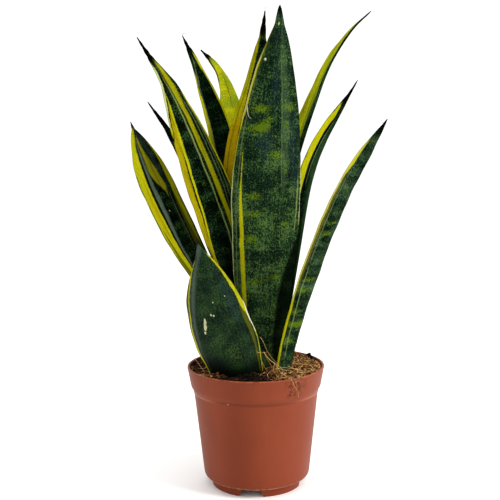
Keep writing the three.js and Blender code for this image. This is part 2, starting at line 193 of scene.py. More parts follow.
add_leaf(
    "leaf_front_right", width=(17, 23), widest=0.5, back=(-45, -38), bend=(70, 40, 20),
    point=5, taper=4.5, across=37, body="black deep sea sage", dark=0.97, damp=0, calm=0.8, barred=1,
    route=[(23, -17, 55), (22, -22, 91), (35, -32, 148), (61, -50, 222), (91, -61, 278)],
    stripes="""
        veil: 10 70 4, 35 72 5.4, 70 75 4;
        bronze: 34 -88 0.8, 50 -87 1.5, 70 -87 1.5, 78 -90 0.8;
        yellow: 0 -97 1.2, 20 -97 1.4, 32 -98 1, 40 -100 0.7;
        yellow: 78 -100 2, 82 -100 4.6, 86 -100 3, 90 -100 1;
        straw: 30 -100 0.9, 50 -100 1.2, 75 -100 1.2, 88 -100 0.7;
        fresh: 8 -50 0.3, 15 -54 0.4, 25 -60 0.5, 35 -62 0.5, 42 -64 0.3;
        vein: 46 -66 0.6, 60 -68 0.8, 76 -70 0.6
    """,
    blotches="""
        64.5 0 2 1 0.5, 60 -20 2 0.8 0.7, 56 -30 2.4 0.6 0.9, 47 10 2 0.5 0.5, 38 -20 2.6 0.8 0.8,
        33.5 -50 2.4 0.8 0.9, 25 -60 3.4 0.6 0.8, 20 0 2.8 1.3 1.3, 13.5 -50 3 0.7 0.9, 7 0 2 1 0.5
    """,
    shades="""
        98.5 0 10 3 0.9, 88 0 14 3 0.3, 43 0 2 1.5 0.5, 30 0 2 0.6 0.7, 22.5 30 2 1.2 0.7,
        16.5 0 2.4 1.5 0.7, 10 -60 2.4 0.8 0.7, 62 0 1.6 1.2 0.5, 50 0 2 1.2 0.5, 0 0 8 2 0.5
    """,
    ridges="-50 0.12 0.08",
    high_trim="40 0, 50 1.4, 60 2.4, 70 3, 80 4.2, 90 3, 96 0.8, 100 0",
)
add_leaf(
    "leaf_left_low", width=(13, 42), widest=0.62, back=(150, 140), bend=(90, 80, 30),
    point=6, taper=3.15, across=45, body="black black deep green", dark=0.972,
    route=[(-30, -7, 55), (-26, -5, 91), (-36, -5, 150), (-57, -2, 190), (-71, 3, 220), (-93, 14, 279)],
    # steel is a painted grey-blue sheen.
    stripes="""
        slate: 74 -55 1, 80 -52 3, 88 -44 4, 93 -30 4, 96 -10 2;
        olive: 20 -74 3, 40 -74 5, 60 -74 5, 70 -78 4.4, 80 -84 2.6;
        mustard: 50 -82 1.5, 58 -80 3, 64 -80 3.6, 70 -82 2;
        citron: 62 -78 1.4, 70 -79 3.6, 78 -80 4.2, 86 -86 3, 92 -90 1.6;
        yellow: 0 65 7, 20 65 8.6, 45 65 12.7, 50 65 13.8, 60 66 14.2, 70 70 12.5, 80 71.5 10.9, 85 73 8.8,
            90 74 6.4, 93 70 5.4, 95.5 70 3;
        olive: 20 80 6, 42 80 7, 50 80 5, 56 80 1.5;
        golden: 54 50 2, 62 60 5, 68 62 4, 74 60 1;
        dusk: 45 24 1, 60 27 1.4, 70 33 3, 80 36 2.6, 90 40 1.4;
        steel: 30 20 1.2, 50 12 2.4, 60 8 4, 70 13 4.6, 78 18 3.6, 86 24 2.2, 92 28 1;
        mustard: 71 -42 1.5, 73.5 -36 5, 76 -26 8, 80 -15 8.6, 84 -10 5.6, 88 -2 3, 92 6 1.6;
        vein: 48 -50 0.4, 60 -50 0.6, 70 -52 0.4
    """,
    scars="63.5 -17 0.7 0.5",
    ridges="12 0.25 0.08",
    low_trim="20 0, 40 2, 80 2, 90 1.5, 96 0.5, 100 0",
    high_trim="78 0, 85 1.2, 90 1.4, 95 0.3, 100 0",
)
add_leaf(
    "leaf_left_tall", width=(20, 40), widest=0.52, back=(118, 118), bend=(90, 50, 20),
    point=22, taper=1.6, across=49, body="black black deep moss", dark=0.918, barred=0.8,
    route=[(-9, 7, 55), (-9, 4, 91), (-14, 3, 158), (-35, 3, 234), (-61, 4, 300), (-85.3, 4, 340.8)],
    stripes="""
        golden: 20 100 2, 36 100 3, 40 100 4, 45 100 6.8, 50 100 8.6, 55 100 9.2, 62 98 8.6, 66 92 7,
            70 78 4.6, 75 72 3, 79 68 1.2;
        yellow: 35 92 0.8, 40 84 1.5, 45 72 1.6, 50 66 1.8, 60 62 2, 68 62 2, 75 62 1.4, 82 66 0.6;
        citron: 0 -50 2.4, 30 -46 3, 42 -39 3, 45 -38.5 3.6, 50 -34 3.6, 55 -32 3.3, 65 -29 3.5, 72 -30 3,
            77 -30 3, 80 -32 3.6, 83 -38 4.2, 87 -45 3.4, 90 -50 2.4, 91.5 -50 1.4;
        yellow: 72 100 1.6, 80 100 2.2, 86 100 1.4;
        fresh: 10 -16 0.9, 40 -14 1, 50 -10 1, 60 -6 1.1, 70 -3 1.3, 78 0 1, 86 8 0.5;
        pale: 74 100 1.2, 82 100 2.4, 88 100 2, 91 100 0.8;
        vein: 50 -66 0.5, 65 -68 0.6, 77 -72 0.4;
        vein: 46 -54 0.4, 60 -54 0.6, 79 -58 0.5;
        yellow: 35 -100 1, 60 -100 1.4, 80 -100 1.2
    """,
    blotches="55 20 3 0.2 0.5, 45 30 6 0.3 0.3, 36 20 6 0.4 0.3, 25 20 7 0.5 0.3",
    shades="85 40 16 0.5 0.7, 28 40 14 1 0.8",
    ridges="-10 0.2 0.06",
    low_trim="10 0, 30 2, 50 3.5, 60 4, 70 3, 78 2, 84 0",
    high_trim="24 0, 33 -2, 42 -1.6, 50 0, 76 0, 80 0.5, 85 1.7, 89 0.8, 92 0",
)
add_leaf(
    "leaf_left_hidden", width=(16, 24), widest=0.4, back=(165, 150), bend=(80, 40, 20),
    point=16, taper=2, across=33, body="black black deep green", dark=0.9,
    route=[(-20, 25, 55), (-20, 27, 91), (-22, 27, 138), (-31, 33, 194), (-63, 40, 265), (-83, 45, 295)],
    stripes="""
        olive: 10 -90 2, 40 -90 2.4, 70 -90 1.4, 78 -90 0.5;
        yellow: 0 85 3, 40 86 3.4, 60 88 2, 70 90 0.6
    """,
)
add_leaf(
    "leaf_back_left", width=(18, 25), widest=0.5, back=(120, 120), bend=(90, 40, 20),
    point=14, taper=2, across=37, body="black black deep fern", dark=0.95,
    route=[(-11, 26, 55), (-12, 18, 91), (-14, 21, 156), (-23, 29, 257), (-42, 37, 318), (-54, 40, 345)],
    stripes="""
        vein: 82 75 0.5, 88 60 0.7, 92 40 0.5;
        yellow: 0 93 3, 50 90 4.4, 70 90 4.4, 78 93 3, 82 98 1, 87 100 0.8;
        grey: 40 72 1, 68 74 1.2, 78 74 1.1, 88 78 0.6;
        yellow: 0 -92 1.6, 40 -94 1.8, 70 -94 1.6, 80 -95 1.3, 87 -93 1.2, 90 -80 1.6, 93 -70 1.2
    """,
    blotches="80 0 4 0.5 0.25, 74 -20 4 0.5 0.25",
    ridges="50 0.12 0.08",
)
add_leaf(
    "leaf_back_yellow", width=(18, 29), widest=0.5, back=(105, 115), bend=(90, 50, 20),
    point=12, taper=1.8, across=37, body="lime lime yellow bright", dark=0.955, calm=0.5,
    route=[(2, 33, 55), (3, 40, 91), (-5, 45, 169), (-16, 52, 280), (-27, 57, 320), (-41, 60, 336)],
    stripes="""
        olive: 80 -22 0.5, 85 -25 0.9, 89 -25 0.5;
        lime: 10 -40 2, 70 -40 2, 85 -50 1.2, 90 -50 0.5;
        green: 88 100 0.6, 93 100 1.8, 97 100 2;
        green: 0 -30 3, 30 -30 2, 50 -30 0.6
    """,
    low_trim="86 0, 90 0.6, 93 0.8, 96 0.4",
    high_trim="80 0, 85 1, 90 0.6, 93 0",
)
add_leaf(
    "leaf_back_tall", width=(18, 35), widest=0.5, back=(88, 92), bend=(90, 50, 20),
    point=12, taper=1.6, across=45, body="black black deep green", dark=0.935,
    route=[(6, 13, 55), (5, 14, 91), (-3, 15, 150), (-6, 17, 249), (4, 20, 309), (10, 22, 361)],
    stripes="""
        amber: 0 100 11, 30 100 15, 50 100 16, 60 100 14.6, 70 100 12.6, 76 100 9;
        citron: 70 100 9, 75 100 9.4, 80 100 6.2, 85 100 5.8, 90 100 4.4, 92 100 2;
        olive: 40 85 0.6, 60 84 0.8, 75 82 0.7, 86 82 0.4;
        lime: 10 35 1, 55 38 1.2, 68 40 0.5
    """,
    ridges="50 0.12 0.08",
    low_trim="90 0, 93 1, 97 0.3, 100 0",
    high_trim="90 0, 93 1, 97 0.3, 100 0",
)
add_leaf(
    "leaf_right_tall", width=(20, 43), widest=0.5, back=(12.5, 12.5), bend=(90, 79, 24),
    point=8, taper=1.5, across=45, body="black deep fern green", dark=0.975,
    route=[(18, 20, 55), (15, 26, 91), (26, 38, 217), (50, 47, 295), (63, 52, 326), (79.5, 56, 350),
           (95.5, 60, 365)],
    stripes="""
        bright: 0 50 10, 30 50 17, 50 50 21.5, 70 47.5 16.8, 80 45 12.5, 85 35 11.4, 90 45 6.5, 94.5 58 2.7,
            96.5 60 1;
        citron: 30 85 3, 60 85 3.6, 70 85 3, 78 90 1;
        lime: 50 20 8, 60 20 8, 70 20 5.4, 80 10 3.6, 86 0 2;
        green: 50 0 2.4, 60 0 2.2, 70 0 1.6, 78 -40 1.4;
        fresh: 50 -20 1.2, 62 -20 1.4, 72 -20 1.4, 80 -18 1.6, 85 -25 1.2;
        vein: 50 12 0.5, 62 12 0.7, 72 10 0.5;
        pale: 30 100 1.2, 70 100 1.4, 85 100 1, 93 100 0.7
    """,
    shades="93 -80 30 0.5 1, 97 0 7 2 0.9",
)
add_leaf(
    "leaf_right_mid", width=(20, 40), widest=0.56, back=(-12, -20), bend=(90, 84, 24),
    point=14, taper=1.9, across=45, body="black black deep green", dark=0.9,
    route=[(21, 2, 55), (20, 4, 91), (35, 16, 188), (45, 19, 237), (55, 21, 264), (81, 28, 309)],
    stripes="""
        fern: 30 0 2, 50 0 8, 62 0 13, 72 0 11, 84 0 3;
        yellow: 0 -90 3, 40 -87 4.6, 60 -84 5.8, 74 -84 5.6, 80 -84 5, 85 -76 5, 88 -80 2.6, 90 -90 1;
        black: 50 -55 1.4, 70 -56 2.2, 80 -52 1.6, 84 -46 0.8;
        vein: 62 -50 0.5, 68 -48 0.9, 75 -40 1, 80 -30 0.9, 84 -25 0.4;
        yellow: 0 95 2, 50 97 2.4, 80 97 1.6, 88 97 0.8
    """,
    # This shade is painted shade over the lower half.
    shades="30 20 62 1.2 1",
)

# How light the loose soil is from place to place: x, y, reach and tone.
SOIL_TONES = [
    # The darkest tones, in front of the short front leaf's foot, are painted shade.
    (30, 8, 22, 0.72), (24, -30, 16, 0.7), (-38, 8, 18, 0.32), (-2, -46, 10, 0.02), (-36, -36, 10, 0.56),
    (-12, -44, 16, 0.04), (8, -36, 7, 0.2), (44, 20, 8, 0.3), (0, 24, 18, 0.36),
]

# From the darkest crumb to the lightest fibre.
SOIL_COLOURS = [
    (0.0, (6, 3, 2)), (0.3, (30, 14, 7)), (0.5, (86, 46, 20)), (0.7, (140, 92, 44)), (1.0, (206, 168, 108)),
]

rng = np.random.default_rng(11)


def linear(colour, level=1.0):
    """An sRGB colour as Blender's linear one, with alpha, divided by the light that falls on it."""
    values = np.array(COLOURS[colour] if isinstance(colour, str) else colour) / 255
    low = values / 12.92
    high = ((values + 0.055) / 1.055) ** 2.4
    return (*(np.where(values <= 0.04045, low, high) / level).tolist(), 1.0)


def mix(a, b, share):
    return a + (b - a) * share


# Shapes


def add_object(name, data):
    piece = bpy.data.objects.new(name, data)
    bpy.context.scene.collection.objects.link(piece)
    return piece


def make_object(name, points, faces, material, attributes=(), smooth=True):
    """A mesh object from points in millimetres. attributes are (name, type, values) on its points."""
    mesh = bpy.data.meshes.new(name)
    mesh.from_pydata((np.asarray(points, float) * MM).tolist(), [], faces)
    for key, kind, values in attributes:
        layer = mesh.attributes.new(key, kind, "POINT")
        field = "vector" if kind == "FLOAT_VECTOR" else "value"
        layer.data.foreach_set(field, np.asarray(values, np.float32).ravel())
    mesh.materials.append(material)
    mesh.validate()
    if smooth:
        mesh.shade_smooth()
    return add_object(name, mesh)


def place_piece(piece, slot, *nodes):
    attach(piece, "root")
    if nodes:
        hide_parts(*nodes)
    return piece


def ring_faces(rings, count):
    """The quads between neighbouring rings of points."""
    faces = []
    for i in range(rings - 1):
        for j in range(count):
            k = (j + 1) % count
            faces.append((i * count + j, i * count + k, (i + 1) * count + k, (i + 1) * count + j))
    return faces


class Heap:
    """Many small closed shapes gathered into one mesh, each with a tone from 0 to 1."""

    def __init__(self):
        self.points, self.faces, self.tones = [], [], []

    def add(self, points, faces, tone):
        start = len(self.tones)
        self.points.extend(np.asarray(points, float).tolist())
        self.faces.extend([tuple(int(i) + start for i in face) for face in faces])
        self.tones.extend([tone] * len(points))

    def tube(self, route, radius, tone, sides=5, steps=6):
        """A thin tapering strand along a smooth curve through the route's points."""
        line = spline(route, steps)[0]
        tangents = np.gradient(line, axis=0)
        tangents /= np.linalg.norm(tangents, axis=1)[:, None]
        up = np.array([0.31, 0.12, 0.94])
        points = []
        for i, (centre, tangent) in enumerate(zip(line, tangents)):
            a = np.cross(tangent, up)
            a /= np.linalg.norm(a)
            b = np.cross(tangent, a)
            wide = radius * (1 - 0.6 * i / (len(line) - 1))
            turns = np.arange(sides) * 2 * np.pi / sides
            points.extend(centre + wide * (np.cos(t) * a + np.sin(t) * b) for t in turns)
        faces = ring_faces(len(line), sides)
        faces.append(tuple(reversed(range(sides))))
        faces.append(tuple(range(len(points) - sides, len(points))))
        self.add(points, faces, tone)

    def build(self, name, material):
        tones = [("tone", "FLOAT", self.tones)]
        return make_object(name, self.points, self.faces, material, tones)


def spline(route, steps):
    """A smooth curve, centripetal Catmull-Rom: its points, their lengths, and its first span's length."""
    p = np.array(route, float)
    p = np.vstack([2 * p[0] - p[1], p, 2 * p[-1] - p[-2]])
    spans = []
    for i in range(1, len(p) - 2):
        pairs = zip(p[i - 1 : i + 2], p[i : i + 3])
        before, here, after = [np.dot(b - a, b - a) ** 0.25 for a, b in pairs]
        step = p[i + 1] - p[i]
        start = (p[i] - p[i - 1]) / before - (p[i + 1] - p[i - 1]) / (before + here) + step / here
        end = step / here - (p[i + 2] - p[i]) / (here + after) + (p[i + 2] - p[i + 1]) / after
        start, end = start * here, end * here
        t = np.linspace(0, 1, steps + 1)[:, None]
        t = t if i == 1 else t[1:]
        bend = (3 * step - 2 * start - end) * t**2
        spans.append(p[i] + start * t + bend + (start + end - 2 * step) * t**3)
    line = np.vstack(spans)
    length = np.concatenate([[0], np.cumsum(np.linalg.norm(np.diff(line, axis=0), axis=1))])
    return line, length, length[steps]


def leaf_sections(leaf, share):
    """The leaf's middle line, directions, width, bend and half thickness at each share."""
    line, length, buried = spline(leaf.route, CURVE_STEPS)
    whole = length[-1]
    above = whole - buried
    place = np.where(share < 0, buried * (1 + share), buried + above * share)

    def at(where):
        return np.stack([np.interp(where, length, line[:, axis]) for axis in range(3)], 1)

    reach = 1.5
    tangent = at(np.minimum(place + reach, whole)) - at(np.maximum(place - reach, 0))
    tangent /= np.linalg.norm(tangent, axis=1)[:, None]
    turn = np.radians(mix(*leaf.back, np.maximum(share, 0)))
    back = np.stack([np.cos(turn), np.sin(turn), np.zeros_like(turn)], 1)
    back -= tangent * (back * tangent).sum(1)[:, None]
    back /= np.linalg.norm(back, axis=1)[:, None]

    foot, full = leaf.width
    widest = leaf.widest
    end = 1 - leaf.point / above
    widths = NEEDLE_WIDTHS if leaf.point >= NEEDLE else SHORT_WIDTHS
    growth = (1 - np.cos(np.pi * np.clip(share, 0, widest) / widest)) / 2
    narrowing = np.clip((share - widest) / (end - widest), 0, 1) ** leaf.taper
    fuller = (widths[0] - POINT_WIDTH) * np.exp(-(((share - end) / POINT_JOIN) ** 2))
    blade = mix(full, POINT_WIDTH, narrowing) + fuller
    width = np.select(
        [share < 0, share < widest, share < end],
        [mix(foot, CROWN_WIDTH, -share), mix(foot, full, growth), blade],
        np.interp((share - end) / (1 - end), [0, 0.5, 1], widths),
    )
    rolled = np.interp(share, [0, 0.5, 1], leaf.bend)
    bend = np.radians(np.where(share < 0, mix(leaf.bend[0], CROWN_BEND, -share), rolled))
    thick = np.interp(share, [0, 0.5, 1], [FOOT_THICKNESS, MIDDLE_THICKNESS, TIP_THICKNESS])
    thick = np.where(share < 0, mix(FOOT_THICKNESS, CROWN_THICKNESS, -share), thick)
    thick = np.minimum(thick, THICKEST * width)
    return at(place), tangent, back, np.cross(tangent, back), width, bend, thick / 2, above, end


def bowed(centre, back, side, radius, angle, out):
    """Points this far out from the bend's axis. The radius is that of the leaf's middle."""
    return (
        centre[:, None]
        + back[:, None] * (out * np.cos(angle) - radius)[..., None]
        + side[:, None] * (out * np.sin(angle))[..., None]
    )


def trimmed(leaf, side, share, half_width):
    """Where a margin stands, as a part of the leaf's half width."""
    stops = leaf.trims[side]
    if not stops:
        return np.full_like(share, side)
    shares, sizes = zip(*stops)
    back = np.interp(share, shares, sizes, left=sizes[0] if shares[0] < 0.1 else 0, right=0)
    return side * (1 - back / half_width)


def leaf_piece(leaf, index):
    """One leaf: both faces, rounded margins and slight waves, and its markings' places as attributes."""
    above = leaf_sections(leaf, np.array([0.0]))[7]
    # The stations stand closer from a little before the dried point.
    point_share = 1 - 1.3 * leaf.point / above
    share = np.concatenate([
        np.linspace(-1, 0, BURIED_STATIONS, endpoint=False),
        np.linspace(0, point_share, STATIONS, endpoint=False),
        np.linspace(point_share, 1, POINT_STATIONS),
    ])
    centre, tangent, back, side, width, bend, middle, above, end = leaf_sections(leaf, share)
    along = share * above

    # The dried point shrivels, and the blade waves a little, each leaf at its own phase.
    phase = 1.7 * index
    long_wave, short_wave, broad_wave = 7.3, 3.1, 23
    dried = np.clip((share - end) / (1 - end), 0, 1)
    width = width * (1 + SHRIVEL * np.sin(along * 0.9 + phase) * np.minimum(dried * 3, 1))
    wave = np.sin(along / long_wave + phase) + 0.6 * np.sin(along / short_wave + 2 * phase)
    blade = np.clip(share / 0.12, 0, 1) * np.clip((end - share) / 0.08, 0, 1)
    over = np.sin(np.linspace(-CROWDING, CROWDING, leaf.across)) / math.sin(CROWDING)

    half_width = width / 2
    low = trimmed(leaf, -1, share, half_width)[:, None]
    high = trimmed(leaf, 1, share, half_width)[:, None]
    across = low + (high - low) * (over[None] + 1) / 2
    radius = (width / bend)[:, None]
    angle = across * bend[:, None] / 2
    margin = np.minimum(MARGIN_THICKNESS / 2, 0.6 * middle)[:, None]
    half = margin + (middle[:, None] - margin) * (1 - over[None] ** 2) ** FULLNESS
    lift = MARGIN_WAVE * wave[:, None] * blade[:, None] * over[None] ** 3
    broad = np.sin(along / broad_wave + phase)[:, None]
    lift = lift + MIDDLE_WAVE * broad * blade[:, None] * (1 - over[None] ** 2)
    ridge = np.zeros_like(half)
    for place, height, spread in leaf.ridges:
        ridge += height * np.exp(-(((across - place) / spread) ** 2)) * blade[:, None]

    def surface(face):
        return bowed(centre, back, side, radius, angle, radius + lift + face * half + ridge)

    outer, inner = surface(1), surface(-1)

    def nose(row_end):
        """The rounded edge of the margin, just outside its two faces."""
        turn = angle[:, row_end]
        outward = np.sign(turn)[:, None] * (side * np.cos(turn)[:, None] - back * np.sin(turn)[:, None])
        edge = (outer[:, row_end] + inner[:, row_end]) / 2
        return (edge + outward * margin * 0.7)[:, None]

    rows = np.concatenate([outer, nose(-1), inner[:, ::-1], nose(0)], 1)
    across = np.concatenate([across, high, across[:, ::-1], low], 1)
    face = np.concatenate([np.ones(len(over)), [0.0], -np.ones(len(over)), [0.0]])
    count = len(face)
    points = rows.reshape(-1, 3)

    faces = ring_faces(len(share), count)
    n = len(over)
    top = (len(share) - 1) * count
    caps = [(j, j + 1, count - 3 - j, count - 2 - j) for j in range(n - 1)]
    caps += [(n - 1, n, n + 1), (count - 2, count - 1, 0)]
    for cap in caps:
        faces.append(tuple(reversed(cap)))
        faces.append(tuple(top + q for q in cap))

    # Places for the markings, so far apart that no two faces or leaves are marked alike.
    face_gap, leaf_gap = 4, 40
    x = half_width[:, None] * across
    y = np.repeat(along[:, None], count, 1)
    z = face_gap * face[None] + np.zeros_like(x) + leaf_gap * index
    attributes = [("leaf_place", "FLOAT_VECTOR", np.stack([x, y, z], -1))]

    def clouds(places):
        total = np.zeros_like(x)
        for where, place, tall, wide, strength in places:
            spread = ((across - place) / wide) ** 2 + ((y - where * above) / tall) ** 2
            total += strength * np.exp(-spread)
        return total

    tones = [clouds(leaf.blotches), np.repeat(share[:, None], count, 1), clouds(leaf.shades)]
    attributes.append(("leaf_tone", "FLOAT_VECTOR", np.stack(tones, -1)))
    for number, (_, stops) in enumerate(leaf.stripes):
        shares, places, widths = zip(*stops)
        middle_line = np.clip(np.interp(share, shares, places), low[:, 0], high[:, 0]) * half_width
        ends = (shares[0] - STRIPE_FADE, *shares, shares[-1] + STRIPE_FADE)
        half_stripe = np.interp(share, ends, np.array([NO_STRIPE, *widths, NO_STRIPE]) / 2)
        values = np.stack([middle_line, half_stripe, half_stripe * 0], -1)
        attributes.append((f"stripe_{number}", "FLOAT_VECTOR", np.repeat(values[:, None], count, 1)))
    return make_object(f"{leaf.name}_blade", points, faces, leaf_material(leaf, above), attributes)


# Materials


class Nodes:
    """A material's node tree with short calls for the nodes used here."""

    def __init__(self, name, level=1.0):
        self.level = level
        self.material = bpy.data.materials.new(name)
        self.material.use_nodes = True
        self.tree = self.material.node_tree
        self.tree.nodes.clear()
        self.shader = self.add("ShaderNodeBsdfPrincipled")
        output = self.add("ShaderNodeOutputMaterial")
        self.tree.links.new(self.shader.outputs["BSDF"], output.inputs["Surface"])

    def add(self, kind, inputs=None, **settings):
        """A new node with these settings, and with these values or links on its inputs."""
        node = self.tree.nodes.new(kind)
        for key, value in settings.items():
            setattr(node, key, value)
        for key, value in (inputs or {}).items():
            self.put(node.inputs[key], value)
        return node

    def put(self, socket, value):
        if isinstance(value, bpy.types.NodeSocket):
            self.tree.links.new(value, socket)
        else:
            socket.default_value = value

    def set(self, name, value):
        self.put(self.shader.inputs[name], value)

    def math(self, operation, *values):
        return self.add("ShaderNodeMath", dict(enumerate(values)), operation=operation).outputs[0]

    def times(self, a, b):
        return self.math("MULTIPLY", a, b)

    def vary(self, value, layer, weight):
        """The value, raised or lowered by a layer of noise, which is 0.5 on average."""
        return self.math("MULTIPLY_ADD", self.math("SUBTRACT", layer, 0.5), weight, value)

    def scaled(self, vector, by):
        return self.add("ShaderNodeVectorMath", {0: vector, 1: by}, operation="MULTIPLY").outputs[0]

    def bright(self, colour, by):
        return self.add("ShaderNodeVectorMath", {0: colour, "Scale": by}, operation="SCALE").outputs[0]

    def object_place(self):
        return self.add("ShaderNodeTexCoord").outputs["Object"]

    def near(self, place, point, reach):
        """1 at the point, in millimetres, falling to 0 at the reach."""
        centre = [v * MM for v in point]
        node = self.add("ShaderNodeVectorMath", {0: place, 1: centre}, operation="DISTANCE")
        return self.step(node.outputs["Value"], 0.35 * reach * MM, reach * MM, 1, 0)

    def attribute(self, name, output="Vector"):
        return self.add("ShaderNodeAttribute", attribute_name=name).outputs[output]

    def split(self, vector):
        return self.add("ShaderNodeSeparateXYZ", {0: vector}).outputs

    def noise(self, vector, scale, detail=2.0, roughness=0.5, distortion=0.0):
        inputs = {"Vector": vector, "Scale": scale, "Detail": detail, "Roughness": roughness}
        inputs["Distortion"] = distortion
        return self.add("ShaderNodeTexNoise", inputs).outputs["Fac"]

    def step(self, value, low, high, start=0.0, end=1.0):
        """A smooth step from start to end as the value goes from low to high."""
        inputs = {"Value": value, "From Min": low, "From Max": high, "To Min": start, "To Max": end}
        return self.add("ShaderNodeMapRange", inputs, interpolation_type="SMOOTHSTEP").outputs["Result"]

    def step_mm(self, value, low, high, start=0.0, end=1.0):
        return self.step(value, low * MM, high * MM, start, end)

    def mix(self, share, a, b):
        a, b = (linear(c, self.level) if isinstance(c, (str, tuple)) else c for c in (a, b))
        return self.add("ShaderNodeMix", {0: share, 6: a, 7: b}, data_type="RGBA").outputs[2]

    def ramp(self, value, stops):
        node = self.add("ShaderNodeValToRGB", {0: value})
        elements = node.color_ramp.elements
        while len(elements) < len(stops):
            elements.new(0.5)
        for element, (place, colour) in zip(elements, stops):
            element.position = place
            element.color = linear(colour, self.level)
        return node.outputs["Color"]

    def bump(self, height, strength, distance):
        inputs = {"Height": height, "Strength": strength, "Distance": distance}
        self.set("Normal", self.add("ShaderNodeBump", inputs).outputs[0])


def leaf_material(leaf, above):
    n = Nodes(f"{leaf.name}_skin", LIGHT_LEVEL)
    place = n.attribute("leaf_place")
    x, y, _ = n.split(place)
    blotch, share, shade = n.split(n.attribute("leaf_tone"))

    streak = n.noise(n.scaled(place, (1, 0.045, 1)), 0.9, 3.0, 0.6)
    fine = n.noise(n.scaled(place, (1, 0.16, 1)), 2.4, 2.0, 0.6)
    speckle = n.noise(n.scaled(place, (0.9, 0.6, 1)), 0.75, 3.0, 0.7)
    grain = n.noise(n.scaled(place, (1.1, 0.7, -1)), 1.25, 2.0, 0.6)
    bars = n.noise(n.scaled(place, (0.11, 1, 1)), 0.15, 5.0, 0.62, 0.4)
    patch = n.noise(n.scaled(place, (0.7, 0.8, 1)), 0.13, 2.0, 0.5)

    # The greens in crossbars, speckles and streaks, with lighter flecks.
    shadow, low, high, fleck = leaf.body
    value = n.vary(0.48, bars, leaf.barred)
    for layer, weight in ((speckle, 1.8), (grain, 2.2), (streak, 0.8), (patch, 1.3)):
        value = n.vary(value, layer, weight * leaf.calm)
    for start, end, amount in leaf.zones:
        value = n.math("ADD", value, n.step(share, start, end, 0, amount))
    colour = n.ramp(value, [(0.0, shadow), (0.3, low), (0.65, high), (1.0, fleck)])
    ragged = n.vary(1, speckle, 3)
    ragged = n.vary(ragged, grain, 2.4)
    colour = n.mix(n.step(n.times(blotch, ragged), 0.25, 1.1, 0, 0.9), colour, "light")
    # The shades darken towards black: the leaf's own dark marks, and painted shade between leaves and at
    # the feet.
    dusk = n.vary(shade, speckle, 0.9)
    colour = n.mix(n.step(dusk, 0.12, 0.9, 0, 0.96), colour, "black")

    # The stripes, each with edges that wander a little along the veins.
    wander = 0.0
    for layer, weight in ((streak, 1.3), (grain, 1.3), (patch, 1.2)):
        wander = n.vary(wander, layer, weight)
    x_here = n.math("ADD", x, wander)
    for number, (name, _) in enumerate(leaf.stripes):
        middle, half, _ = n.split(n.attribute(f"stripe_{number}"))
        off = n.math("ABSOLUTE", n.math("SUBTRACT", x_here, middle))
        inside = n.math("SUBTRACT", half, off)
        strength, edge = SOFT.get(name, FIRM)
        cover = n.step(inside, -edge, edge, 0, strength)
        tone = name
        if name in ("yellow", "golden", "mustard", "citron", "bright"):
            tone = n.mix(n.step(streak, 0.48, 0.66, 0, 0.6), name, "lime" if name == "yellow" else "olive")
            tone = n.mix(n.step(grain, 0.42, 0.3, 0, 0.3), tone, "olive")
        colour = n.mix(cover, colour, tone)

    # Faint streaks and mottling over everything.
    shine = n.vary(1.0, fine, 0.9)
    shine = n.vary(shine, grain, 0.7)
    colour = n.bright(colour, n.vary(shine, patch, 0.5))

    # Corky scars.
    chipped = n.noise(place, 1.4, 3.0, 0.7)
    for where, over, tall, wide in leaf.scars:
        width = leaf_sections(leaf, np.array([where]))[4][0]
        dx = n.math("DIVIDE", n.math("SUBTRACT", x, float(over * width / 2)), wide)
        dy = n.math("DIVIDE", n.math("SUBTRACT", y, float(where * above)), tall)
        spot = n.math("ADD", n.times(dx, dx), n.times(dy, dy))
        spot = n.vary(spot, chipped, 3.5)
        colour = n.mix(n.step(spot, 0.4, 1.2, 0.95, 0), colour, "scar")

    # The dried tip, and painted shade over the foot where it leaves the soil.
    edge = n.vary(share, fine, 0.03)
    dry = n.step(edge, leaf.dark - 0.012, leaf.dark + 0.012)
    colour = n.mix(dry, colour, "tip")
    if leaf.damp:
        colour = n.mix(n.step(share, 0.0, 0.16, leaf.damp, 0), colour, "black")

    n.set("Base Color", colour)
    n.set("Roughness", n.math("MULTIPLY_ADD", dry, 0.3, n.step(streak, 0.2, 0.8, 0.38, 0.52)))
    n.set("Specular IOR Level", leaf.gloss)
    height = n.math("ADD", streak, n.times(fine, 0.5))
    n.bump(n.math("MULTIPLY_ADD", speckle, 0.4, height), 0.35, 0.00016)
    return n.material


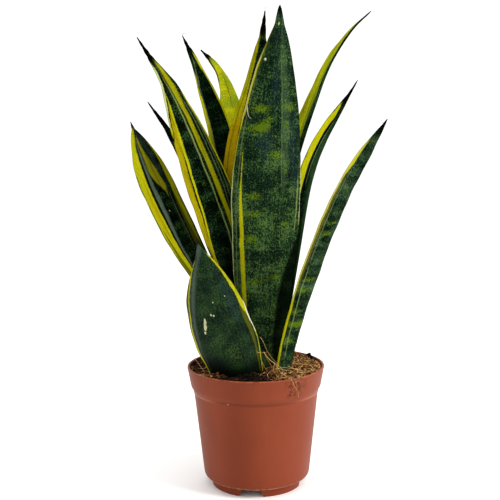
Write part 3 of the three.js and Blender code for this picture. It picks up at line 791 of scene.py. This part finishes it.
def pot_material():
    n = Nodes("pot_plastic_skin", LIGHT_LEVEL)
    place = n.object_place()
    x, y, z = n.split(place)
    broad = n.noise(place, 26, 3.0, 0.5)
    flow = n.noise(n.scaled(place, (1, 1, 0.12)), 120, 3.0, 0.6)
    specks = n.noise(place, 620, 2.0, 0.6)
    grit = n.noise(place, 260, 4.0, 0.7)
    highlight_specks = n.noise(place, 700, 2.0, 0.6)

    # Soil clings to the inside wall and in patches to the rim, most where the strands hang over it.
    out = n.math("POWER", n.math("ADD", n.times(x, x), n.times(y, y)), 0.5)
    lean = (POT.rim_radius - POT.band_radius) / (POT.rim_height - POT.band_height)
    wall = n.math("MULTIPLY_ADD", z, lean, (POT.rim_radius - lean * POT.rim_height) * MM)
    inside = n.step_mm(n.math("SUBTRACT", wall, out), 0.8, 1.3)
    stain = n.mix(n.step(grit, 0.4, 0.6), (92, 42, 22), (150, 80, 46))
    dust = n.times(n.step_mm(z, 86, 94), n.step(grit, 0.52, 0.66))
    patch = n.times(n.near(place, (30, -43, 86), 13), n.step(grit, 0.44, 0.6))

    # Painted highlights on the lip's edge, the edge over the foot ring and the ledge under the band, dull
    # in the middle.
    lip_highlight = n.times(n.step_mm(z, 92.2, 92.7), n.step(grit, 0.62, 0.4, 0.1, 0.6))
    foot_edge_highlight = n.times(n.step_mm(z, 6.2, 6.8), n.step_mm(z, 8.6, 7.4))
    ledge = n.times(n.step_mm(z, 72.6, 73.6), n.step_mm(z, 75.4, 74.7))
    sideways = n.math("ABSOLUTE", x)
    shaded_column = n.math("ABSOLUTE", n.math("ADD", x, 14 * MM))

    colour = n.mix(n.step(broad, 0.3, 0.7), (130, 56, 28), (138, 61, 33))
    coats = [
        (n.step(flow, 0.4, 0.75, 0, 0.2), (150, 72, 44)),
        (n.step(specks, 0.7, 0.78, 0, 0.4), (190, 130, 96)),
        # Painted shade down a column left of the front, and painted light over the right side.
        (n.step_mm(shaded_column, 20, 0, 0, 0.55), (118, 48, 22)),
        (n.step_mm(x, 0, 30, 0, 0.5), (146, 66, 42)),
        (n.times(inside, n.step_mm(z, 78, 84, 0, 0.9)), stain),
        (n.times(dust, 0.45), (84, 40, 22)),
        (lip_highlight, (178, 102, 74)),
        (n.times(patch, 0.75), (92, 44, 22)),
        (n.times(n.times(foot_edge_highlight, n.step(highlight_specks, 0.46, 0.6)), 0.85), (220, 150, 112)),
        # The ledge gets a painted highlight at its sides and painted shade in its middle.
        (n.times(ledge, n.step_mm(sideways, 26, 42, 0, 0.6)), (184, 110, 82)),
        (n.times(ledge, n.step_mm(sideways, 32, 18, 0, 0.55)), (104, 44, 22)),
    ]
    # Three bright specks.
    for point in ((18, -42, 45), (-21, -44, 74), (29, -39, 62)):
        coats.append((n.near(place, point, 1.1), (206, 140, 110)))
    for cover, coat in coats:
        colour = n.mix(cover, colour, coat)

    n.set("Base Color", colour)
    n.set("Roughness", n.step(flow, 0.2, 0.8, 0.42, 0.54))
    n.set("Specular IOR Level", 0.12)
    n.bump(n.math("ADD", flow, n.times(n.noise(place, 900, 2.0, 0.5), 0.35)), 0.25, 0.00012)
    return n.material


def soil_material(name):
    n = Nodes(name)
    place = n.object_place()
    tone = n.attribute("tone", "Fac")
    broad = n.noise(place, 170, 4.0, 0.65)
    fine = n.noise(place, 900, 3.0, 0.7)
    value = n.vary(tone, broad, 0.5)
    value = n.vary(value, fine, 0.35)
    n.set("Base Color", n.ramp(value, SOIL_COLOURS))
    n.set("Roughness", n.step(fine, 0.3, 0.7, 0.82, 0.96))
    n.set("Specular IOR Level", 0.1)
    n.bump(n.math("ADD", broad, fine), 0.6, 0.0005)
    return n.material


def rhizome_material():
    n = Nodes("rhizome_skin")
    place = n.object_place()
    broad = n.noise(place, 90, 4.0, 0.6)
    fine = n.noise(place, 700, 3.0, 0.6)
    stops = [(0.25, (120, 74, 36)), (0.5, (176, 118, 64)), (0.8, (206, 158, 98))]
    n.set("Base Color", n.ramp(broad, stops))
    n.set("Roughness", n.step(fine, 0.3, 0.7, 0.6, 0.8))
    n.bump(n.math("ADD", broad, n.times(fine, 0.4)), 0.5, 0.0004)
    return n.material


def plain_material(name, colour, roughness):
    n = Nodes(name)
    n.set("Base Color", linear(colour))
    n.set("Roughness", roughness)
    return n.material


# Pot


def rounded(profile, steps=5):
    """A closed profile of (radius, height, fillet) with its corners rounded."""
    out = []
    for i, (x, z, fillet) in enumerate(profile):
        here = np.array([x, z], float)
        if fillet <= 0:
            out.append(here)
            continue
        before = np.array(profile[i - 1][:2], float) - here
        after = np.array(profile[(i + 1) % len(profile)][:2], float) - here
        a = before / np.linalg.norm(before)
        b = after / np.linalg.norm(after)
        reach = min(fillet, 0.45 * np.linalg.norm(before), 0.45 * np.linalg.norm(after))
        for t in np.linspace(0, 1, steps):
            out.append(here + reach * (a * (1 - t) ** 2 + b * t**2))
    return out


def lathe(name, profile, sides, material):
    """A closed profile turned round Z. Points on the axis are shared by the whole turn."""
    points, rows = [], []
    turns = np.arange(sides) * 2 * np.pi / sides
    for radius, height in profile:
        if radius < 1e-6:
            rows.append([len(points)] * sides)
            points.append((0, 0, height))
        else:
            rows.append(list(range(len(points), len(points) + sides)))
            points.extend((radius * math.cos(t), radius * math.sin(t), height) for t in turns)
    faces = []
    for low, high in zip(rows, rows[1:]):
        for j in range(sides):
            k = (j + 1) % sides
            face = list(dict.fromkeys((low[j], low[k], high[k], high[j])))
            if len(face) > 2:
                faces.append(tuple(face))
    return make_object(name, points, faces, material)


def cut(piece, cutters):
    """Takes the cutters out of the piece, and deletes them."""
    for cutter in cutters:
        modifier = piece.modifiers.new("cut", "BOOLEAN")
        modifier.operation = "DIFFERENCE"
        modifier.solver = "EXACT"
        modifier.object = cutter
    bpy.context.view_layer.update()
    made = bpy.data.meshes.new_from_object(piece.evaluated_get(bpy.context.evaluated_depsgraph_get()))
    piece.modifiers.clear()
    piece.data = made
    for cutter in cutters:
        bpy.data.objects.remove(cutter)


def build_pot():
    p = POT
    foot_inside = p.foot_radius - p.foot_width
    outline = [
        (0, p.floor_bottom, 0),
        (foot_inside, p.floor_bottom, 0.4),
        (foot_inside, 0, 0.5),
        (p.foot_radius, 0, 0.5),
        (p.foot_radius + p.foot_flare, p.foot_height, 0.5),
        (mix(p.foot_radius, p.corner_radius, 0.7), p.foot_height + 0.8, 1.2),
        (mix(p.foot_radius, p.corner_radius, 0.93), p.foot_height + 2.4, 1.2),
        (p.corner_radius, p.corner_height, 1.8),
        (p.body_radius - 0.1, p.body_height - 1.5, 0.2),
        (p.body_radius + p.ledge, p.body_height - 0.9, 0.3),
        (p.body_radius + p.ledge, p.body_height - 0.1, 0.3),
        (p.body_radius + 0.3, p.body_height + 0.5, 0.5),
        (p.band_radius - 0.3, p.band_height - 0.6, 1.3),
        (p.band_radius + 0.1, p.band_height + 1.2, 1.3),
        (p.rim_radius - 0.25, p.rim_height - 2.2, 0.4),
        (p.rim_radius, p.rim_height - 1.6, 0.4),
        (p.rim_radius, p.rim_height, 0.6),
        (p.rim_radius - p.wall, p.rim_height, 0.6),
        (p.band_radius - p.wall, p.band_height, 2),
        (p.body_radius - p.wall, p.body_height, 2),
        (p.corner_radius - p.wall, p.corner_height, 2),
        (p.foot_radius, p.floor_top + p.floor_rise, 0.5),
        (p.foot_radius - p.floor_edge, p.floor_top, 0.5),
        (0, p.floor_top, 0),
    ]
    plastic = pot_material()
    pot = lathe("pot_shell", rounded(outline), p.sides, plastic)

    cutters = []
    past = 1
    for i in range(DRAIN.count + 1):
        turn = math.radians(NOTCH.first_turn) + 2 * math.pi * (i + 0.5) / DRAIN.count
        middle = i == DRAIN.count
        radius = DRAIN.middle_radius if middle else DRAIN.radius
        low, high = p.floor_bottom - past, p.floor_top + past
        profile = [(0, low), (radius, low), (radius, high), (0, high)]
        hole = lathe(f"hole_{i}", profile, DRAIN.sides, plastic)
        reach = 0 if middle else DRAIN.ring * MM
        hole.location = (reach * math.cos(turn), reach * math.sin(turn), 0)
        cutters.append(hole)
    for i in range(NOTCH.count):
        low_half, high_half = NOTCH.bottom_width / 2, NOTCH.top_width / 2
        section = rounded([
            (-low_half, -past, 0), (low_half, -past, 0),
            (high_half, NOTCH.height, NOTCH.corner), (-high_half, NOTCH.height, NOTCH.corner),
        ])
        near, far = -NOTCH.inner_radius, -NOTCH.inner_radius - NOTCH.depth
        points = [(x, near, z) for x, z in section] + [(x, far, z) for x, z in section]
        count = len(section)
        sides = [(j, (j + 1) % count, count + (j + 1) % count, count + j) for j in range(count)]
        faces = [tuple(range(count))[::-1], tuple(range(count, 2 * count))] + sides
        notch = make_object(f"notch_{i}", points, faces, plastic, smooth=False)
        mesh = bmesh.new()
        mesh.from_mesh(notch.data)
        bmesh.ops.recalc_face_normals(mesh, faces=mesh.faces)
        mesh.to_mesh(notch.data)
        mesh.free()
        notch.rotation_euler = (0, 0, math.radians(NOTCH.first_turn + 90 + 360 * i / NOTCH.count))
        cutters.append(notch)
    cut(pot, cutters)
    pot.data.shade_smooth()
    pot.data.set_sharp_from_angle(angle=math.radians(38))
    return pot


# Soil


def wall_radius(height):
    """The pot's outer wall at a height."""
    heights = [POT.corner_height, POT.body_height, POT.band_height, POT.rim_height]
    radii = [POT.corner_radius, POT.body_radius, POT.band_radius, POT.rim_radius]
    return np.interp(height, heights, radii)


def soil_height(x, y):
    out = np.minimum(1, np.hypot(x, y) / (wall_radius(POT.rim_height) - POT.wall))
    lumps = np.sin(x * 0.31 + 0.8) * np.cos(y * 0.27 - 0.4) + 0.6 * np.sin(x * 0.13 - y * 0.19)
    return POT.rim_height - SOIL.edge_drop + SOIL.heap * (1 - out * out) + SOIL.lump * lumps


def soil_tone(x, y):
    """How light the soil is at a place, blended from SOIL_TONES."""
    total = whole = 0
    for px, py, reach, tone in SOIL_TONES:
        weight = math.exp(-((x - px) ** 2 + (y - py) ** 2) / reach**2) + 1e-4
        total += weight * tone
        whole += weight
    return total / whole


def build_soil():
    """The packed soil with its top split finely and roughened. Its sockets and hollows stay."""
    mesh = bmesh.new()
    mesh.from_mesh(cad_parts["soil"].data)
    bmesh.ops.remove_doubles(mesh, verts=mesh.verts, dist=1e-6)
    bmesh.ops.triangulate(mesh, faces=mesh.faces)
    top_height = (POT.rim_height - SOIL.edge_drop - 2.5) * MM

    def on_top(face):
        return face.normal.z > 0.6 and face.calc_center_median().z > top_height

    for longest in (8, 4, 2.4, 1.7, 1.4):
        mesh.normal_update()
        edges = {e for f in mesh.faces if on_top(f) for e in f.edges if e.calc_length() > longest * MM}
        if edges:
            bmesh.ops.subdivide_edges(mesh, edges=sorted(edges, key=lambda e: e.index), cuts=1)
            bmesh.ops.triangulate(mesh, faces=[f for f in mesh.faces if len(f.verts) > 3])
            mesh.verts.index_update()
            mesh.edges.index_update()
    mesh.normal_update()
    top = {v for f in mesh.faces if on_top(f) for v in f.verts}
    for vert in top:
        x, y, _ = vert.co / MM
        rough = noise.fractal(Vector((x / 5, y / 5, 3.1)), 0.7, 2.1, 5)
        vert.co.z += MM * (0.75 * rough - 0.1)
    data = bpy.data.meshes.new("soil_ground")
    mesh.to_mesh(data)
    mesh.free()
    tones = data.attributes.new("tone", "FLOAT", "POINT")
    tones.data.foreach_set("value", [0.5 * soil_tone(*(v.co.xy / MM)) for v in data.vertices])
    data.materials.append(soil_material("soil_ground_skin"))
    data.shade_smooth()
    data.set_sharp_from_angle(angle=math.radians(50))
    return add_object("soil_ground", data)


def leaf_feet():
    """Points along the middle of each leaf's section where it leaves the soil."""
    feet = []
    over = np.linspace(-1, 1, 25)
    for leaf in LEAVES:
        share = np.array([0.0, 0.012])
        centre, _, back, side, width, bend, _, _, _ = leaf_sections(leaf, share)
        radius = (width / bend)[:, None]
        angle = over[None] * bend[:, None] / 2
        feet.append(bowed(centre, back, side, radius, angle, radius).reshape(-1, 3)[:, :2])
    return np.vstack(feet)


FEET = leaf_feet()


def clear_of_leaves(x, y, room):
    return np.hypot(FEET[:, 0] - x, FEET[:, 1] - y).min() > room


def tone_near(x, y, spread):
    return float(np.clip(soil_tone(x, y) + rng.normal(0, spread), 0, 1))


def random_place(reach):
    """A random place on the soil within the reach: x, y and how far out it is."""
    out = reach * math.sqrt(rng.random())
    turn = rng.random() * 2 * math.pi
    return out * math.cos(turn), out * math.sin(turn), out


def ragged(shape, depth, fineness, offset):
    """The shape with its points moved in and out unevenly."""
    bulges = [noise.noise(Vector(p * fineness) + Vector(offset)) for p in shape]
    return shape * (1 + depth * np.array(bulges)[:, None])


def build_crumbs():
    """Crumbs of coir and peat: small lumps and chips, pressed into the soil."""
    ball = bmesh.new()
    bmesh.ops.create_icosphere(ball, subdivisions=2, radius=1)
    shape = np.array([v.co for v in ball.verts])
    faces = [[v.index for v in f.verts] for f in ball.faces]
    ball.free()
    heap = Heap()
    reach = wall_radius(POT.rim_height - SOIL.edge_drop) - POT.wall - 0.6
    for number in range(SOIL.crumbs):
        x, y, out = random_place(reach)
        size = 0.5 + 1.4 * rng.random() ** 2.4
        if out > reach - size or not clear_of_leaves(x, y, 2.1 + 0.5 * size):
            continue
        stretch = np.array([1, 0.45 + 0.5 * rng.random(), 0.3 + 0.45 * rng.random()]) * size
        spin = Matrix.Rotation(rng.random() * 6.28, 3, "Z")
        spin = spin @ Matrix.Rotation((rng.random() - 0.5) * 1.6, 3, "X")
        lump = (ragged(shape, 0.3, 1.9, (number, 0, 0)) * stretch) @ np.array(spin).T
        lift = 0.25 * size + 0.9 * rng.random() ** 2
        heap.add(lump + [x, y, soil_height(x, y) + lift], faces, tone_near(x, y, 0.16))
    # More of them against the pot's wall.
    for number in range(SOIL.wall_crumbs):
        turn = rng.random() * 2 * math.pi
        size = 0.5 + 0.7 * rng.random() ** 2
        out = reach - size * (0.3 + 1.2 * rng.random())
        x, y = out * math.cos(turn), out * math.sin(turn)
        lump = ragged(shape, 0.3, 1.9, (number, 9, 0)) * [1, 0.8, 0.7] * size
        lift = 0.2 + 0.9 * rng.random()
        heap.add(lump + [x, y, soil_height(x, y) + lift], faces, tone_near(x, y, 0.2))
    # The dark clump that stands up at the right.
    clump = ((42, 22, 93.4, 2.6), (44.2, 22.6, 92.6, 1.7), (40.1, 22.4, 92.2, 1.5), (42.6, 21.4, 95.2, 1.5))
    for x, y, z, size in clump:
        heap.add(ragged(shape, 0.4, 1.7, (x - 42, 7, 0)) * size * [1, 0.8, 0.85] + [x, y, z], faces, 0.04)
    return heap.build("soil_crumbs", soil_material("soil_crumb_skin"))


def build_fibres():
    """Coir fibres on the soil, the dried root strands at the front, and a few loose hairs."""
    heap = Heap()
    reach = wall_radius(POT.rim_height - SOIL.edge_drop) - POT.wall - 0.8
    made = 0
    while made < SOIL.fibres:
        x, y, _ = random_place(reach)
        tone = tone_near(x, y, 0.26)
        heading = rng.random() * 2 * math.pi
        length = 4 + 10 * rng.random()
        curl = rng.normal(0, 0.5)
        pile = 1.4 if x > 5 else 0.8
        route = []
        for _ in range(5):
            if not clear_of_leaves(x, y, 2.2) or math.hypot(x, y) > reach:
                break
            route.append((x, y, soil_height(x, y) + 0.4 + pile * rng.random() * 1.7))
            heading += curl * 0.5 + rng.normal(0, 0.3)
            x += math.cos(heading) * length / 4
            y += math.sin(heading) * length / 4
        if len(route) < 3:
            continue
        made += 1
        heap.tube(route, 0.14 + 0.24 * rng.random() ** 1.5, tone, 4, 3)

    # Dried strands from between the front leaves, over the soil and the rim: radius, tone and route.
    strands = [
        (0.13, 0.9, [(3.3, -34, 121.9), (5.4, -34, 118.4), (7.5, -34.5, 113.3), (8.7, -35, 110.9)]),
        (0.22, 0.95, [(5.7, -36, 111.1), (9.4, -36, 105.9), (13.6, -37, 102.6), (16, -38, 99.5),
          (23.6, -38, 97.6)]),
        (0.18, 0.85, [(13.6, -37, 102.6), (12.7, -38.5, 97.9), (15.1, -41, 94.2), (14.5, -44, 92.5)]),
        (0.19, 0.9, [(16, -38, 99.5), (18.4, -40.5, 95.8), (21.7, -43, 94.6), (24.9, -46.4, 93.7),
          (27.4, -45.8, 88.4), (30, -43.6, 82.9), (30.8, -42.2, 78.3)]),
        (0.13, 0.8, [(22, -41, 95), (25.4, -44.6, 94.6), (28.4, -44.6, 91), (29.4, -43.6, 87),
          (28.6, -43.4, 81)]),
        (0.11, 0.75, [(26, -40, 95.4), (29, -43, 94.6), (31.6, -42.6, 91.4), (33, -41, 86),
          (32.4, -40.8, 82)]),
        (0.1, 1, [(0.3, -38, 111.7), (3.6, -37, 110.6), (8.7, -35, 110.9)]),
        (0.1, 0.9, [(4.4, -38, 104.1), (6.4, -40, 100.4), (8.6, -42, 97.7)]),
        (0.14, 0.8, [(8.7, -35, 110.9), (12, -35.4, 106), (17, -36, 101), (20, -36.6, 96)]),
        (0.13, 0.75, [(7, -36, 108), (11, -37.5, 101), (12, -39, 96), (10, -41, 93.4)]),
        (0.11, 1, [(10, -36, 105), (16, -38, 101.4), (20, -41, 98), (21, -44, 94.6)]),
        (0.13, 1, [(23.2, -40, 101.4), (28.3, -40, 99.1), (34.2, -38, 97), (38.7, -36, 95)]),
        (0.14, 0.95, [(13, -36, 98), (20, -35, 99), (27, -33, 97.5), (33, -30, 96)]),
        (0.16, 0.9, [(30, -34, 95), (34, -30, 99), (38, -24, 98.4), (43, -20, 95)]),
        # Loose hairs.
        (0.12, 0.85, [(-38, -30, 95), (-46, -31, 108), (-51, -31, 123), (-55, -32, 126.5)]),
        (0.12, 0.95, [(24, -24, 97), (26.2, -24, 107.9), (30.4, -22, 113.7), (37.4, -20, 123.6)]),
        (0.12, 0.5, [(48, 8, 93), (54, 14, 94.5), (60, 18, 91), (65, 20, 88)]),
        (0.1, 0.8, [(47, -2, 93), (55, -1, 96.5), (61, 0, 95), (65, 0, 91)]),
    ]
    for radius, tone, route in strands:
        heap.tube(route, radius, tone, 5, 8)

    # Short fibres that cling to the pot's band where the strands hang over it.
    for _ in range(SOIL.band_fibres):
        turn = math.radians(-58 + 9 * rng.normal(0, 0.6))
        height = 79 + 13 * rng.random()
        heading = rng.random() * math.pi
        length = 0.8 + 2.2 * rng.random()
        route = []
        for step in (-0.5, 0, 0.5):
            z = height + math.sin(heading) * length * step
            angle = turn + math.cos(heading) * length * step / POT.rim_radius
            out = wall_radius(z) + 0.15
            route.append((out * math.cos(angle), out * math.sin(angle), z))
        heap.tube(route, 0.16 + 0.14 * rng.random(), 0.2 + 0.7 * rng.random(), 4, 2)
    return heap.build("soil_fibres", soil_material("soil_fibre_skin"))


def build_tip_hairs():
    """Dried hairs at two tips, and the peeled thread on the front leaf."""
    heap = Heap()
    heap.tube([(-54, 40, 344.5), (-54, 40, 346.4), (-52.4, 40, 347.2), (-50.4, 40, 346.4)], 0.32, 0.95)
    heap.tube([(10, 22, 360.5), (10.2, 22, 363), (11.4, 22, 365.2)], 0.28, 0.85)
    heap.tube([(-4.4, -17.3, 289), (-3.9, -17.8, 284.5), (-3.2, -18.2, 281.6), (-1.6, -19, 280)], 0.35, 1.0)
    return heap.build("tip_hairs", plain_material("tip_hair_skin", (150, 148, 122), 0.7))


# Put together

place_piece(build_pot(), "pot_plastic", "pot")
place_piece(build_soil(), "soil", "soil")
place_piece(build_crumbs(), "soil")
place_piece(build_fibres(), "soil")
place_piece(build_tip_hairs(), "leaf")
for number, leaf in enumerate(LEAVES):
    place_piece(leaf_piece(leaf, number), "leaf", leaf.name)
skin = rhizome_material()
for name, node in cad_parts.items():
    if name.startswith("rhizome"):
        node.data.materials.clear()
        node.data.materials.append(skin)

# Studio

FLOOR_REACH = 20000
corners = [(x * FLOOR_REACH, y * FLOOR_REACH, 0) for x, y in ((-1, -1), (1, -1), (1, 1), (-1, 1))]
paint = plain_material("floor_paint", (250, 250, 249), 0.8)
make_object("floor", corners, [(0, 1, 2, 3)], paint, smooth=False)

world = bpy.data.worlds.new("studio")
world.use_nodes = True
sky = world.node_tree.nodes["Background"]
sky.inputs["Color"].default_value = (1.0, 1.0, 1.0, 1)
sky.inputs["Strength"].default_value = 1.12
bpy.context.scene.world = world


def soft_light(name, place, size, power, colour, aim=(0, 0, 0.2)):
    light = bpy.data.lights.new(name, "AREA")
    light.shape = "SQUARE"
    light.size = size
    light.energy = power
    light.color = colour
    lamp = add_object(name, light)
    lamp.location = place
    lamp.rotation_euler = (Vector(aim) - Vector(place)).to_track_quat("-Z", "Y").to_euler()


soft_light("key", (1.2, -0.6, 1.0), 0.5, 22, (1.0, 0.97, 0.93))
soft_light("side", (-1.3, -0.7, 0.9), 0.6, 3, (0.94, 0.97, 1.0))
soft_light("rim", (0.3, 1.3, 1.4), 0.8, 4, (1.0, 1.0, 1.0))

# The photo's view. Its focal length and its width are in pixels, and its turns are in degrees.
SENSOR, FOCAL_PIXELS, PHOTO_PIXELS = 36, 931, 500
VIEW_PLACE, VIEW_DROP, VIEW_ROLL = (-0.0034, -0.7, 0.27), 7.2, -0.66
camera = bpy.data.cameras.new("camera")
camera.sensor_width = SENSOR
camera.lens = FOCAL_PIXELS / PHOTO_PIXELS * SENSOR
camera.clip_end = 100
view = add_object("camera", camera)
drop = Matrix.Rotation(math.radians(90 - VIEW_DROP), 4, "X")
roll = Matrix.Rotation(math.radians(VIEW_ROLL), 4, "Z")
view.matrix_world = Matrix.Translation(VIEW_PLACE) @ (drop @ roll)
bpy.context.scene.camera = view
bpy.context.scene.view_settings.view_transform = "Standard"
